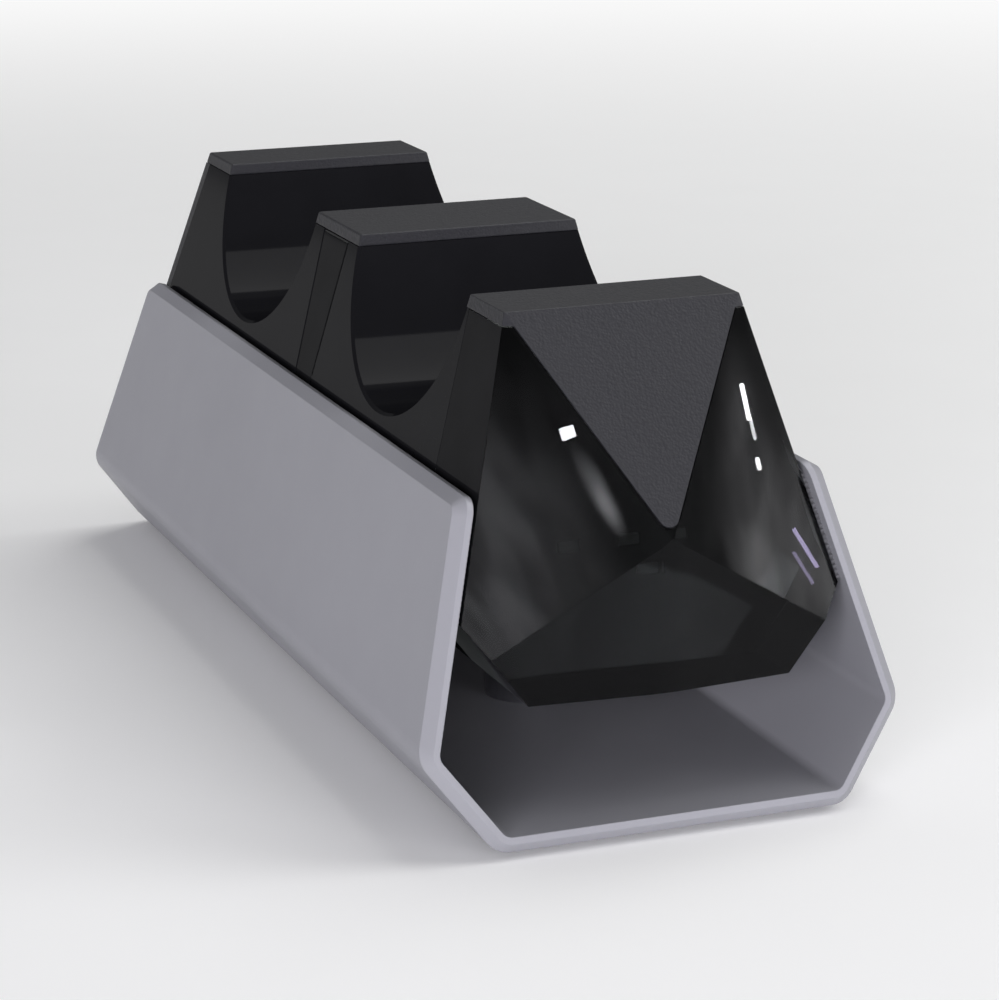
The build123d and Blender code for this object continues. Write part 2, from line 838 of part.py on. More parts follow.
# Flat cable, which climbs from the charging board and runs forward under the contacts
cable_start_z = board_top + (cable_socket_height + cable_thickness) / 2
cable_rise = cable_top - cable_start_z
cable_turn_y = board_front - cable_lead
with BuildPart() as flat_cable:
    with BuildSketch(Plane.YZ):
        with BuildLine():
            cable_line = FilletPolyline(
                (board_front, cable_start_z),
                (cable_turn_y, cable_start_z),
                (cable_turn_y - cable_rise / tan(radians(cable_slope)), cable_top),
                (front_y, cable_top),
                radius=cable_bend_radius,
            )
            offset(cable_line, amount=cable_thickness, side=Side.LEFT)
        make_face()
    extrude(amount=cable_width / 2, both=True)
    split(bisect_by=light_back_plane.offset(-cable_socket_length), keep=Keep.BOTTOM)
flat_cable.part.label = "flat_cable"

# Write one file for each piece
os.makedirs("parts", exist_ok=True)
export_step(cradle.part, "parts/cradle.step")
export_step(feet.part, "parts/feet.step")
export_step(front_cap.part, "parts/front_cap.step")
export_step(middle_cap.part, "parts/middle_cap.step")
export_step(rear_cap.part, "parts/rear_cap.step")
export_step(front_block.part, "parts/front_block.step")
export_step(middle_block.part, "parts/middle_block.step")
export_step(housing.part, "parts/housing.step")
export_step(rear_panel.part, "parts/rear_panel.step")
export_step(inlet_shell.part, "parts/inlet_shell.step")
export_step(inlet_tongue.part, "parts/inlet_tongue.step")
export_step(charge_board.part, "parts/charge_board.step")
export_step(board_screws.part, "parts/board_screws.step")
export_step(board_components.part, "parts/board_components.step")
export_step(base_cover.part, "parts/base_cover.step")
export_step(spacers.part, "parts/spacers.step")
export_step(threaded_inserts.part, "parts/threaded_inserts.step")
export_step(mounting_screws.part, "parts/mounting_screws.step")
export_step(side_pad_right.part, "parts/side_pad_right.step")
export_step(side_pad_left.part, "parts/side_pad_left.step")
export_step(front_contact_seat.part, "parts/front_contact_seat.step")
export_step(rear_contact_seat.part, "parts/rear_contact_seat.step")
export_step(front_contact_board.part, "parts/front_contact_board.step")
export_step(rear_contact_board.part, "parts/rear_contact_board.step")
export_step(front_contact_springs.part, "parts/front_contact_springs.step")
export_step(rear_contact_springs.part, "parts/rear_contact_springs.step")
export_step(light_board.part, "parts/light_board.step")
export_step(status_lights.part, "parts/status_lights.step")
export_step(flat_cable.part, "parts/flat_cable.step")
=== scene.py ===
import math
from collections import namedtuple

import bmesh
import bpy
from bpy.props import FloatProperty, FloatVectorProperty, IntProperty, PointerProperty
from mathutils import Matrix, Quaternion, Vector


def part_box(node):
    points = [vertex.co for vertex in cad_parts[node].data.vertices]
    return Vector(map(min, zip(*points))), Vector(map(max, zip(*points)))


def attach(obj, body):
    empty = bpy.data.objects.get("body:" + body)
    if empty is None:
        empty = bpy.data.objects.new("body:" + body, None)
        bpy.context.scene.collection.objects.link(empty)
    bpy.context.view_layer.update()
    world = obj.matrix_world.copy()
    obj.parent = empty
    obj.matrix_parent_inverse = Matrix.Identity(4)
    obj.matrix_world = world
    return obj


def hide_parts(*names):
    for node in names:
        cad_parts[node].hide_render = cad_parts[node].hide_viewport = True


bl_info = {
    "name": "Controller charging dock",
    "version": (1, 0, 0),
    "blender": (4, 5, 0),
    "location": "3D View > Sidebar > Dock",
    "description": "Finishes, feet and studio for a charging dock with a folded cradle and clear blocks",
    "category": "Object",
}

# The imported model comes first, because sizes and places below are read from it.
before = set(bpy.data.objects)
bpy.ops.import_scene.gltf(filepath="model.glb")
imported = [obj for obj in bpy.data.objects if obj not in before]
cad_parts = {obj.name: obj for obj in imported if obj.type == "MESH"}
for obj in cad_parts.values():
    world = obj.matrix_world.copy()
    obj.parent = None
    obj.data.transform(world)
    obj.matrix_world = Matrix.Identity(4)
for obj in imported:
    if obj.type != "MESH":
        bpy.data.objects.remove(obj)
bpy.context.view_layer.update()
MM = 0.001
ROOT = "root"


# Settings


def color_property(name, description, default):
    """A colour that a user can change, written as linear red, green and blue."""
    return FloatVectorProperty(
        name=name,
        description=description,
        subtype="COLOR",
        size=3,
        min=0.0,
        max=1.0,
        default=default,
    )


def place_property(name, description, default):
    """A place that a user can change, in metres."""
    return FloatVectorProperty(
        name=name,
        description=description,
        subtype="TRANSLATION",
        unit="LENGTH",
        default=default,
    )


def length_property(name, description, default):
    """A length that a user can change, in metres."""
    return FloatProperty(name=name, description=description, unit="LENGTH", default=default)


def power_property(name, description, default):
    """A lamp's power that a user can change, in watts."""
    return FloatProperty(name=name, description=description, unit="POWER", default=default)


def share_property(name, description, default):
    """A share between nothing and all that a user can change."""
    return FloatProperty(
        name=name,
        description=description,
        subtype="FACTOR",
        min=0.0,
        max=1.0,
        default=default,
    )


def count_property(name, description, default, least, most):
    """A whole number that a user can change."""
    return IntProperty(name=name, description=description, default=default, min=least, max=most)


class DockFinishSettings(bpy.types.PropertyGroup):
    """Colours and surface sizes of the dock's finishes."""

    sheet_color: color_property("Sheet", "Colour of the anodised sheet", (0.295, 0.295, 0.32))
    cap_color: color_property("Caps", "Colour of the grained caps", (0.018, 0.018, 0.021))
    clear_tint: color_property("Clear blocks", "Tint of the smoked clear blocks", (0.150, 0.162, 0.155))
    housing_color: color_property("Housing", "Colour of the gloss moulding", (0.006, 0.006, 0.007))
    pad_color: color_property("Side pads", "Colour of the grained side pads", (0.14, 0.14, 0.15))
    sheet_roughness: share_property("Sheet roughness", "Mean roughness of the anodised sheet", 0.48)
    cap_grain: length_property("Cap grain", "Width of one grain on the caps", 0.34 * MM)
    blast_grain: length_property("Blasted grain", "Width of one pit on the blasted sheet", 0.25 * MM)


class DockEdgeSettings(bpy.types.PropertyGroup):
    """Rounding of the edges that catch the light."""

    cap_radius: length_property("Cap edges", "Rounding of the edges of the caps", 0.28 * MM)
    block_radius: length_property(
        "Clear block edges",
        "Rounding of the polished edges of the clear blocks",
        0.28 * MM,
    )
    segments: count_property("Segments", "Number of flat stretches across a rounded edge", 3, 1, 6)
    lining_turn: share_property(
        "Lined faces",
        "How far a face of a clear block is turned to the side before it is lined",
        0.8,
    )
    sharpest: FloatProperty(
        name="Least angle",
        description="Smallest angle between two faces whose shared edge is rounded",
        subtype="ANGLE",
        default=math.radians(4.0),
    )


class DockPadSettings(bpy.types.PropertyGroup):
    """Sizes of the ribs round the edges of the side pads."""

    rib_radius: length_property("Rib radius", "Radius of one rib across the edge of a side pad", 0.28 * MM)
    rib_pitch: length_property("Rib pitch", "Distance from one rib to the next along the edge", 0.75 * MM)
    sides: count_property("Rib sides", "Number of flat stretches round a rib", 8, 6, 16)


class DockFootSettings(bpy.types.PropertyGroup):
    """Sizes of the turned feet."""

    groove_count: count_property("Grooves", "Number of rings cut in the underside of a foot", 3, 0, 8)
    groove_depth: length_property("Groove depth", "Depth of a ring in the underside of a foot", 0.25 * MM)
    edge_radius: length_property("Edge radius", "Rounding of the foot's lower edge", 0.3 * MM)
    segments: count_property("Segments", "Number of flat stretches round a foot", 64, 16, 128)


class DockStageSettings(bpy.types.PropertyGroup):
    """Camera, floor and lamps."""

    eye: place_property("Camera place", "Where the camera stands", (-0.1745, -0.4658, 0.1638))
    target: place_property("Camera target", "Point that the camera looks at", (-0.0160, -0.0630, 0.0424))
    focal_length: FloatProperty(
        name="Focal length",
        description="Lens of the camera in millimetres on a 36 mm sensor",
        unit="CAMERA",
        default=118.0,
    )
    floor_color: color_property("Floor", "Colour of the floor near the dock", (0.93, 0.93, 0.92))
    floor_reach: length_property(
        "Floor reach",
        "Distance from the dock over which the floor turns white",
        1.1,
    )
    overhead_power: power_property("Overhead lamp", "Power of the large lamp over the dock", 6.0)
    key_power: power_property("Key lamp", "Power of the lamp at the right", 4.5)
    front_power: power_property("Front lamp", "Power of the low lamp in front of the dock", 8.0)
    fill_power: power_property("Fill lamp", "Power of the soft lamp at the front left", 24.0)
    room_strength: FloatProperty(
        name="Room light",
        description="Strength of the even light from all round",
        default=0.25,
    )


# Materials


class Surface:
    """A new material with its shader, and short ways to add nodes to it."""

    def __init__(self, name, **sockets):
        self.material = bpy.data.materials.new(name)
        self.material.use_nodes = True
        self.nodes = self.material.node_tree.nodes
        self.links = self.material.node_tree.links
        self.shader = self.nodes["Principled BSDF"]
        for socket, value in sockets.items():
            self.shader.inputs[socket.replace("_", " ")].default_value = value
        self.place = self.add("ShaderNodeTexCoord").outputs["Object"]

    def add(self, kind, **settings):
        """Adds a node and sets its own settings."""
        node = self.nodes.new(kind)
        for key, value in settings.items():
            setattr(node, key, value)
        return node

    def feed(self, node, socket, source):
        """Links a source to a socket, or sets the socket to a plain value."""
        if hasattr(source, "is_linked"):
            self.links.new(source, node.inputs[socket])
        else:
            node.inputs[socket].default_value = source

    def noise(self, width, detail=2.0, stretch=None):
        """Noise whose features are about one width across, stretched along an axis if asked."""
        texture = self.add("ShaderNodeTexNoise")
        place = self.place
        if stretch:
            mapping = self.add("ShaderNodeMapping")
            self.feed(mapping, "Vector", place)
            self.feed(mapping, "Scale", stretch)
            place = mapping.outputs["Vector"]
        self.feed(texture, "Vector", place)
        self.feed(texture, "Scale", 1.0 / width)
        self.feed(texture, "Detail", detail)
        return texture.outputs["Fac"]

    def cells(self, width):
        """Distance to the nearest point of a cell pattern whose cells are one width across."""
        texture = self.add("ShaderNodeTexVoronoi", feature="SMOOTH_F1")
        self.feed(texture, "Vector", self.place)
        self.feed(texture, "Scale", 1.0 / width)
        return texture.outputs["Distance"]

    def waves(self, scale_width, distortion=0.0, **settings):
        """Bands, about three to each scale width."""
        texture = self.add("ShaderNodeTexWave", **settings)
        self.feed(texture, "Vector", self.place)
        self.feed(texture, "Scale", 1.0 / scale_width)
        self.feed(texture, "Distortion", distortion)
        return texture.outputs["Fac"]

    def spread(self, source, low, high, first=0.0, last=1.0, curve="LINEAR"):
        """Maps a pattern's range from first to last to the range from low to high."""
        ranged = self.add("ShaderNodeMapRange", interpolation_type=curve)
        self.feed(ranged, "Value", source)
        self.feed(ranged, "From Min", first)
        self.feed(ranged, "From Max", last)
        self.feed(ranged, "To Min", low)
        self.feed(ranged, "To Max", high)
        return ranged.outputs["Result"]

    def calculate(self, operation, first, second):
        """Result of an operation of the Math node on two values."""
        node = self.add("ShaderNodeMath", operation=operation)
        self.feed(node, 0, first)
        self.feed(node, 1, second)
        return node.outputs["Value"]

    def length_of(self, vector):
        """Length of a vector."""
        node = self.add("ShaderNodeVectorMath", operation="LENGTH")
        self.feed(node, "Vector", vector)
        return node.outputs["Value"]

    def paint(self, pattern, first, second):
        """Colours the surface from one colour to another by a pattern."""
        mixed = self.add("ShaderNodeMix", data_type="RGBA")
        self.feed(mixed, "Factor", pattern)
        mixed.inputs["A"].default_value = (*first, 1.0)
        mixed.inputs["B"].default_value = (*second, 1.0)
        self.feed(self.shader, "Base Color", mixed.outputs["Result"])

    def roughen(self, pattern, low, high):
        """Makes the surface smoother or rougher by a pattern."""
        self.feed(self.shader, "Roughness", self.spread(pattern, low, high))

    def relief(self, pattern, depth, edge=0.0):
        """Bumps the surface by a pattern, and rounds its sharp edges if asked."""
        bump = self.add("ShaderNodeBump")
        self.feed(bump, "Height", pattern)
        self.feed(bump, "Distance", depth)
        if edge:
            bevel = self.add("ShaderNodeBevel", samples=4)
            self.feed(bevel, "Radius", edge)
            self.feed(bump, "Normal", bevel.outputs["Normal"])
        self.feed(self.shader, "Normal", bump.outputs["Normal"])

    def show_joined(self, kind, first, second):
        """Joins two shaders by a node of a kind, which the material then shows."""
        node = self.add(kind)
        free = [socket for socket in node.inputs if socket.type == "SHADER"]
        self.links.new(first, free[0])
        self.links.new(second, free[1])
        self.links.new(node.outputs["Shader"], self.nodes["Material Output"].inputs["Surface"])
        return node

    def finish(self, *names):
        """Gives the material to the named nodes of the dock."""
        for name in names:
            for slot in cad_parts[name].material_slots:
                slot.material = self.material


def shade(color, factor):
    """A colour made lighter or darker by a factor."""
    return tuple(min(1.0, channel * factor) for channel in color)


def anodised_sheet(settings):
    """Folded cradle: blasted and anodised aluminium with slow changes of tone."""
    surface = Surface("anodised_sheet", Metallic=0.28, Specular_IOR_Level=0.40)
    tone = surface.noise(width=40 * MM, detail=3.0)
    surface.paint(tone, shade(settings.sheet_color, 0.94), shade(settings.sheet_color, 1.06))
    mean, change = settings.sheet_roughness, 0.04
    surface.roughen(surface.noise(width=6 * MM, detail=4.0), mean - change, mean + change)
    surface.relief(surface.noise(settings.blast_grain, detail=3.0), depth=0.012 * MM, edge=0.25 * MM)
    surface.finish("cradle")


def grained_caps(settings):
    """Caps, slanting plate and rear panel: moulded with a fine leather-like grain."""
    surface = Surface("grained_cap", Specular_IOR_Level=0.45)
    grain = surface.cells(settings.cap_grain)
    waviness = surface.noise(settings.cap_grain * 2.2, detail=3.0)
    surface.paint(grain, shade(settings.cap_color, 1.15), shade(settings.cap_color, 0.80))
    surface.roughen(waviness, 0.46, 0.62)
    surface.relief(surface.calculate("ADD", grain, waviness), depth=0.055 * MM)
    surface.finish("front_cap", "middle_cap", "rear_cap", "rear_panel")


def smoked_blocks(settings):
    """Front and middle blocks: polished clear resin with a grey-green smoke, whose random tint is
    stretched into upright lighter and darker streaks that are partly painted reflection.
    """
    dim_mirror = (0.26, 0.26, 0.275, 1.0)
    surface = Surface("smoked_clear", IOR=1.49, Transmission_Weight=1.0, Specular_Tint=dim_mirror)
    # Upright streaks of lighter and darker tint stand in for reflected streaks in the facets: painted
    # reflection laid over a random smoke.
    upright = (1.0, 1.0, 0.25)
    smoke_and_painted_streaks = surface.spread(surface.noise(width=11 * MM, stretch=upright), low=-1.0, high=2.0)
    surface.paint(smoke_and_painted_streaks, shade(settings.clear_tint, 0.45), shade(settings.clear_tint, 1.5))
    surface.roughen(surface.noise(width=30 * MM, detail=1.0), 0.0, 0.015)
    surface.finish("front_block", "middle_block")


def black_lining():
    """Sides and underside of the clear blocks: black gloss paint."""
    surface = Surface("black_lining", Specular_IOR_Level=0.0, Coat_Weight=0.10)
    haze = surface.noise(width=8 * MM, detail=3.0)
    surface.paint(haze, (0.004, 0.004, 0.0045), (0.009, 0.009, 0.010))
    surface.roughen(haze, 0.08, 0.15)
    surface.relief(surface.noise(width=2.5 * MM, detail=1.0), depth=0.004 * MM)
    return surface.material


def gloss_housing(settings):
    """Housing: black gloss moulding with a faint orange peel."""
    surface = Surface("gloss_housing", Specular_IOR_Level=0.0, Coat_Weight=0.14, Coat_Roughness=0.08)
    haze = surface.noise(width=9 * MM, detail=3.0)
    surface.paint(haze, shade(settings.housing_color, 0.85), shade(settings.housing_color, 1.2))
    surface.roughen(haze, 0.10, 0.16)
    surface.relief(surface.noise(width=2.5 * MM, detail=1.0), depth=0.004 * MM, edge=0.2 * MM)
    surface.finish("housing")


def grained_pads(settings):
    """Side pads: dark rubber with a coarse embossed grain."""
    surface = Surface("grained_pad", Roughness=0.7)
    grain = surface.cells(width=0.8 * MM)
    surface.paint(grain, shade(settings.pad_color, 0.7), shade(settings.pad_color, 1.5))
    surface.relief(grain, depth=0.12 * MM)
    surface.finish("side_pad_left", "side_pad_right")


def foot_rubber():
    """Rubber of the feet."""
    surface = Surface("foot_rubber", Roughness=0.85)
    speck = surface.noise(width=0.3 * MM, detail=4.0)
    surface.paint(speck, (0.020, 0.020, 0.021), (0.045, 0.045, 0.047))
    surface.relief(speck, depth=0.03 * MM)
    surface.finish("feet")
    return surface.material


def moulded_black():
    """Base cover, contact seats and inlet tongue: plain black moulding."""
    surface = Surface("moulded_black", Roughness=0.5)
    speck = surface.noise(width=0.4 * MM, detail=3.0)
    surface.paint(speck, (0.018, 0.018, 0.019), (0.034, 0.034, 0.036))
    surface.relief(speck, depth=0.02 * MM)
    surface.finish("base_cover", "front_contact_seat", "rear_contact_seat", "inlet_tongue")


def board_parts():
    """Chip, coil and capacitors: moulded epoxy."""
    surface = Surface("board_epoxy", Roughness=0.45)
    speck = surface.noise(width=0.5 * MM, detail=3.0)
    surface.paint(speck, (0.022, 0.022, 0.023), (0.05, 0.05, 0.05))
    surface.relief(speck, depth=0.02 * MM)
    surface.finish("board_components")


def status_diffusers():
    """Status lights: smoked diffusers that are off."""
    surface = Surface("status_diffuser", Roughness=0.4)
    frost = surface.noise(width=0.3 * MM)
    surface.paint(frost, (0.07, 0.072, 0.078), (0.10, 0.103, 0.11))
    surface.relief(frost, depth=0.01 * MM)
    surface.finish("status_lights")


def circuit_boards():
    """Boards: green solder mask with paler traces under it."""
    surface = Surface("solder_mask", Roughness=0.35, Coat_Weight=0.3)
    traces = surface.waves(scale_width=9 * MM, distortion=2.5, wave_profile="TRI")
    surface.paint(traces, (0.012, 0.085, 0.035), (0.035, 0.18, 0.08))
    surface.relief(traces, depth=0.03 * MM)
    surface.finish("charge_board", "front_contact_board", "rear_contact_board", "light_board")


def cable_ribbon():
    """Flat cable: pale film over parallel conductors."""
    surface = Surface("cable_film", Roughness=0.35)
    conductors = surface.waves(scale_width=6.3 * MM, bands_direction="X")
    surface.paint(conductors, (0.80, 0.79, 0.74), (0.52, 0.50, 0.47))
    surface.relief(conductors, depth=0.05 * MM)
    surface.finish("flat_cable")


def turned_metal(name, color, roughness, nodes):
    """Turned or stamped metal with fine marks of the tool round an upright axis."""
    surface = Surface(name, Metallic=1.0)
    marks = surface.noise(width=0.25 * MM, detail=3.0, stretch=(0.2, 0.2, 4.0))
    surface.paint(marks, shade(color, 0.85), shade(color, 1.1))
    change = 0.06
    surface.roughen(marks, roughness - change, roughness + change)
    surface.relief(marks, depth=0.01 * MM)
    surface.finish(*nodes)


# Colour, roughness and nodes of each metal
METALS = {
    "turned_aluminium": ((0.60, 0.60, 0.63), 0.30, ["spacers"]),
    "screw_steel": ((0.50, 0.50, 0.52), 0.28, ["mounting_screws", "board_screws"]),
    "insert_brass": ((0.78, 0.58, 0.30), 0.30, ["threaded_inserts"]),
    "spring_gold": ((0.90, 0.66, 0.28), 0.22, ["front_contact_springs", "rear_contact_springs"]),
    "shell_steel": ((0.62, 0.62, 0.64), 0.24, ["inlet_shell"]),
}


class DOCK_OT_finishes(bpy.types.Operator):
    """Gives every piece of the dock its material"""

    bl_idname = "dock.finishes"
    bl_label = "Finishes"

    def execute(self, context):
        for finish in (anodised_sheet, grained_caps, smoked_blocks, gloss_housing, grained_pads):
            finish(context.scene.dock_finish)
        for finish in (moulded_black, circuit_boards, board_parts, cable_ribbon, status_diffusers):
            finish()
        for name, (color, roughness, nodes) in METALS.items():
            turned_metal(name, color, roughness, nodes)
        return {"FINISHED"}


# Copies of meshes

# Points closer than the distance are one, and faces within the angle are flat with each other.
WELD_DISTANCE = 0.001 * MM
FLAT_ANGLE = math.radians(0.5)


def node_material(node):
    """Material of a node of the dock."""
    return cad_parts[node].material_slots[0].material


def plain_mesh(source, name):
    """Turns an object's evaluated shape into a plain mesh object of its own."""
    depsgraph = bpy.context.evaluated_depsgraph_get()
    mesh = bpy.data.meshes.new_from_object(source.evaluated_get(depsgraph))
    mesh.name = name
    piece = bpy.data.objects.new(name, mesh)
    bpy.context.collection.objects.link(piece)
    bpy.data.objects.remove(source)
    return piece


def merged_copy(node, name):
    """Copy of a node's mesh with its faces joined into flat facets, as an object of its own."""
    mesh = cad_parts[node].data.copy()
    mesh.name = name
    shape = bmesh.new()
    shape.from_mesh(mesh)
    bmesh.ops.remove_doubles(shape, verts=shape.verts, dist=WELD_DISTANCE)
    bmesh.ops.dissolve_limit(shape, angle_limit=FLAT_ANGLE, verts=shape.verts, edges=shape.edges)
    shape.to_mesh(mesh)
    shape.free()
    copy = bpy.data.objects.new(name, mesh)
    bpy.context.collection.objects.link(copy)
    return copy


class CopiesTree:
    """Node tree that sets a unit on each of its points, makes the copies real and coats them."""

    def __init__(self, name, lengths, unit, material):
        self.tree = bpy.data.node_groups.new(name, "GeometryNodeTree")
        interface = self.tree.interface
        interface.new_socket("Geometry", in_out="OUTPUT", socket_type="NodeSocketGeometry")
        interface.new_socket("Geometry", in_out="INPUT", socket_type="NodeSocketGeometry")
        for length in lengths:
            socket = interface.new_socket(length, in_out="INPUT", socket_type="NodeSocketFloat")
            socket.subtype = "DISTANCE"
        self.entry = self.add("NodeGroupInput")
        self.copies = self.add("GeometryNodeInstanceOnPoints")
        source = self.add("GeometryNodeObjectInfo", {"Object": unit})
        real = self.add("GeometryNodeRealizeInstances")
        coat = self.add("GeometryNodeSetMaterial", {"Material": material})
        self.link(source, "Geometry", self.copies, "Instance")
        self.link(self.copies, "Instances", real, "Geometry")
        self.link(real, "Geometry", coat, "Geometry")
        self.link(coat, "Geometry", self.add("NodeGroupOutput"), "Geometry")

    def add(self, kind, sockets=None):
        """Adds a node and sets its sockets to plain values."""
        node = self.tree.nodes.new(kind)
        for socket, value in (sockets or {}).items():
            node.inputs[socket].default_value = value
        return node

    def link(self, source, output, target, socket):
        """Links an output of one node to a socket of another."""
        self.tree.links.new(source.outputs[output], target.inputs[socket])

    def identifier(self, length):
        """Identifier of one of the tree's lengths, which a modifier uses as its key."""
        for item in self.tree.interface.items_tree:
            if item.name == length and item.in_out == "INPUT":
                return item.identifier
        raise KeyError(length)

    def run(self, name, base, lengths):
        """Runs the tree on a base mesh, and returns the result as a plain mesh object."""
        carrier = bpy.data.objects.new(name + "_carrier", base)
        bpy.context.collection.objects.link(carrier)
        modifier = carrier.modifiers.new("copies", "NODES")
        modifier.node_group = self.tree
        for length, value in lengths.items():
            modifier[self.identifier(length)] = value
        return plain_mesh(carrier, name)


# Caps and clear blocks


def rounded_piece(node, name, radius, settings):
    """Stands for a node of the dock, with its edges rounded by a radius."""
    copy = merged_copy(node, name + "_blank")
    modifier = copy.modifiers.new("edges", "BEVEL")
    modifier.width = radius
    modifier.segments = settings.segments
    modifier.limit_method = "ANGLE"
    modifier.angle_limit = settings.sharpest
    modifier.harden_normals = True
    piece = plain_mesh(copy, name)
    piece.data.materials.clear()
    piece.data.materials.append(node_material(node))
    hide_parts(node)
    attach(piece, ROOT)
    return piece


def paint_sides(piece, material, least):
    """Gives the underside and the steep faces at both sides of a clear block an opaque lining."""
    lining_index = len(piece.data.materials)
    piece.data.materials.append(material)
    for face in piece.data.polygons:
        steep_side = abs(face.normal.x) > least and face.normal.z > 0
        if steep_side or face.normal.z < -least:
            face.material_index = lining_index


class DOCK_OT_caps(bpy.types.Operator):
    """Rounds the edges of the three caps"""

    bl_idname = "dock.caps"
    bl_label = "Caps"

    def execute(self, context):
        settings = context.scene.dock_edge
        for node in ("front_cap", "middle_cap", "rear_cap"):
            piece = rounded_piece(node, node + "_grained", settings.cap_radius, settings)
        return {"FINISHED"}


class DOCK_OT_blocks(bpy.types.Operator):
    """Rounds the polished edges of the two clear blocks, and lines their sides and undersides"""

    bl_idname = "dock.blocks"
    bl_label = "Clear blocks"

    def execute(self, context):
        settings = context.scene.dock_edge
        lining = black_lining()
        for node in ("front_block", "middle_block"):
            piece = rounded_piece(node, node + "_polished", settings.block_radius, settings)
            paint_sides(piece, lining, settings.lining_turn)
        return {"FINISHED"}


# Side pads

# How much higher than a pad's foot a point of its outline may lie and still count as on it
FOOT_TOLERANCE = 0.01 * MM


def pad_measures(pad):
    """Outline of the broad face of a side pad that lies against the housing, the way out
    through the pad, the way up along it, and its thickness."""
    broad = sorted(pad.data.polygons, key=lambda face: face.area)[-2:]
    inner, outer = sorted(broad, key=lambda face: abs(face.center.x))
    outline = [pad.data.vertices[index].co.copy() for index in inner.vertices]
    slope = inner.normal.cross(Vector((0.0, 1.0, 0.0))).normalized()
    if slope.z < 0:
        slope.negate()
    thickness = abs((outer.center - inner.center).dot(inner.normal))
    return outline, -inner.normal, slope, thickness


def drawn_in(points, slope, amount):
    """Moves points in from the ends and the top of a pad, in place."""
    reach = max(abs(point.y) for point in points)
    low = min(point.dot(slope) for point in points)
    high = max(point.dot(slope) for point in points)
    for point in points:
        point.y *= 1.0 - amount / reach
        point -= slope * (amount * (point.dot(slope) - low) / (high - low))


def edge_path(name, outline, slope, middle, radius):
    """Open chain of edges along the ends and the top of a pad, in the middle of its thickness
    and one radius clear of its foot."""
    low = min(point.dot(slope) for point in outline) + FOOT_TOLERANCE
    start = next(
        number
        for number, point in enumerate(outline)
        if point.dot(slope) < low and outline[number - 1].dot(slope) < low
    )
    chain = outline[start:] + outline[:start]
    for end, inner in ((0, 1), (-1, -2)):
        chain[end] = chain[end] + (chain[inner] - chain[end]).normalized() * radius
    links = [(number, number + 1) for number in range(len(chain) - 1)]
    mesh = bpy.data.meshes.new(name)
    mesh.from_pydata([point + middle for point in chain], links, [])
    return mesh


def rib_mesh(name, radius, thickness, across, sides):
    """Short round bar whose axis runs through the pad's thickness."""
    mesh = bpy.data.meshes.new(name)
    shape = bmesh.new()
    bmesh.ops.create_cone(
        shape,
        cap_ends=True,
        segments=sides,
        radius1=radius,
        radius2=radius,
        depth=thickness,
        matrix=across.to_track_quat("Z", "Y").to_matrix().to_4x4(),
    )
    shape.to_mesh(mesh)
    shape.free()
    return mesh


def rib_tree(unit, material):
    """Node tree that sets one rib at each step along the edge path."""
    ribs = CopiesTree("pad_ribs", ["Pitch"], unit, material)
    curve = ribs.add("GeometryNodeMeshToCurve")
    steps = ribs.add("GeometryNodeResampleCurve")
    steps.mode = "LENGTH"
    ribs.link(ribs.entry, "Geometry", curve, "Mesh")
    ribs.link(curve, "Curve", steps, "Curve")
    ribs.link(ribs.entry, "Pitch", steps, "Length")
    ribs.link(steps, "Curve", ribs.copies, "Points")
    return ribs


def take_core(piece, core):
    """Adds a pad's plain core to its ribs, all with one material, and removes the core's object."""
    shape = bmesh.new()
    shape.from_mesh(core.data)
    shape.from_mesh(piece.data)
    for face in shape.faces:
        face.material_index = 0
    shape.to_mesh(piece.data)
    shape.free()
    bpy.data.objects.remove(core)


def ribbed_pad(node, settings):
    """Side pad with a plain core and a row of ribs round its ends and top."""
    radius = settings.rib_radius
    core = merged_copy(node, node + "_core")
    outline, across, slope, thickness = pad_measures(core)
    drawn_in(outline, slope, radius)
    drawn_in([vertex.co for vertex in core.data.vertices], slope, radius)
    path = edge_path(node + "_edge", outline, slope, across * (thickness / 2), radius)
    rib = rib_mesh("rib_unit", radius, thickness, across, settings.sides)
    unit = bpy.data.objects.new("rib_unit", rib)
    ribs = rib_tree(unit, node_material(node))
    piece = ribs.run(node + "_ribbed", path, {"Pitch": settings.rib_pitch})
    bpy.data.objects.remove(unit)
    take_core(piece, core)
    piece.data.materials.clear()
    piece.data.materials.append(node_material(node))
    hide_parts(node)
    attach(piece, ROOT)


class DOCK_OT_pads(bpy.types.Operator):
    """Cuts the ribs round the edges of both side pads"""

    bl_idname = "dock.pads"
    bl_label = "Side pads"

    def execute(self, context):
        for node in ("side_pad_right", "side_pad_left"):
            ribbed_pad(node, context.scene.dock_pad)
        return {"FINISHED"}


# Feet

# Flat stretches of a foot's rounded edge
EDGE_STEPS = 6

# Half width of a groove, and the ground outside the last groove's middle, in groove pitches
GROOVE_HALF_WIDTH = 0.2
OUTER_GROUND = 1.5

# Edges of a foot with a larger angle stay sharp.
SMOOTH_ANGLE = math.radians(35.0)


def foot_radius():
    """Radius of one foot, taken from the foot in the positive corner."""
    across = [v.co.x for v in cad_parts["feet"].data.vertices if v.co.x > 0 and v.co.y > 0]
    return (max(across) - min(across)) / 2


def foot_profile(settings, radius, height):
    """Half section of one foot, from the middle of its underside round to the middle of its top."""
    pitch = radius / (settings.groove_count + OUTER_GROUND)
    half = pitch * GROOVE_HALF_WIDTH
    points = [(0.0, 0.0)]
    for number in range(settings.groove_count):
        middle = pitch * (number + 1)
        points += [(middle - half, 0.0), (middle, settings.groove_depth), (middle + half, 0.0)]
    edge = settings.edge_radius
    for step in range(EDGE_STEPS + 1):
        turn = math.pi / 2 * step / EDGE_STEPS
        points.append((radius - edge * (1 - math.sin(turn)), edge * (1 - math.cos(turn))))
    points += [(radius, height), (0.0, height)]
    return points


